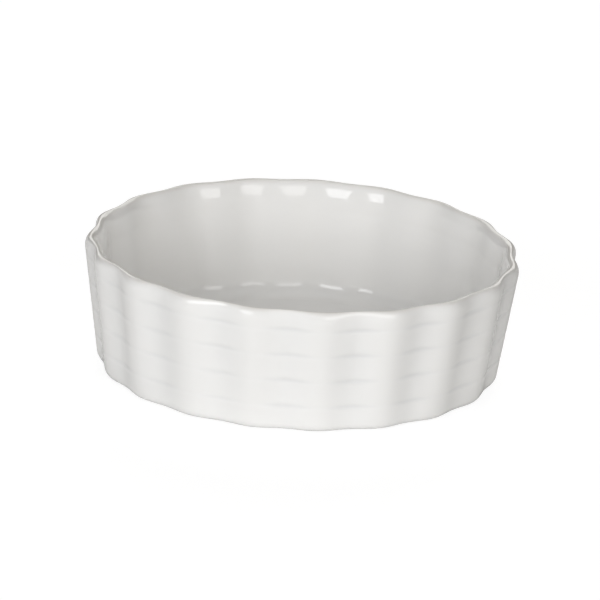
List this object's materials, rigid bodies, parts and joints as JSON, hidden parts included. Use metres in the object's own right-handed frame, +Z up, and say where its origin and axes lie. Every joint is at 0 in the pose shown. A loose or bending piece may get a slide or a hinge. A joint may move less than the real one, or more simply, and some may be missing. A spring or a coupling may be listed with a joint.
{
  "type": "creme brulee dish",
  "caption": "Round fluted ceramic baking dish with a slightly tapered wall, level grooves outside, a rounded wavy lip, a glazed inside and a bare foot ring.",
  "frame": {"origin": "on the axis of the dish, in the plane of its foot ring", "axes": "+Z up along the axis of the dish, out of its mouth; one flute valley faces -Y and one flute crest +Y"},
  "size_m": [0.1196, 0.1191, 0.0357],
  "materials": {
    "bare_clay": "matte fired clay, unglazed",
    "white_glaze": "glossy white glaze"
  },
  "bodies": {
    "root": {"dish_body": "bare_clay", "glaze_coat": "white_glaze", "underside_glaze": "white_glaze"}
  },
  "joints": []
}
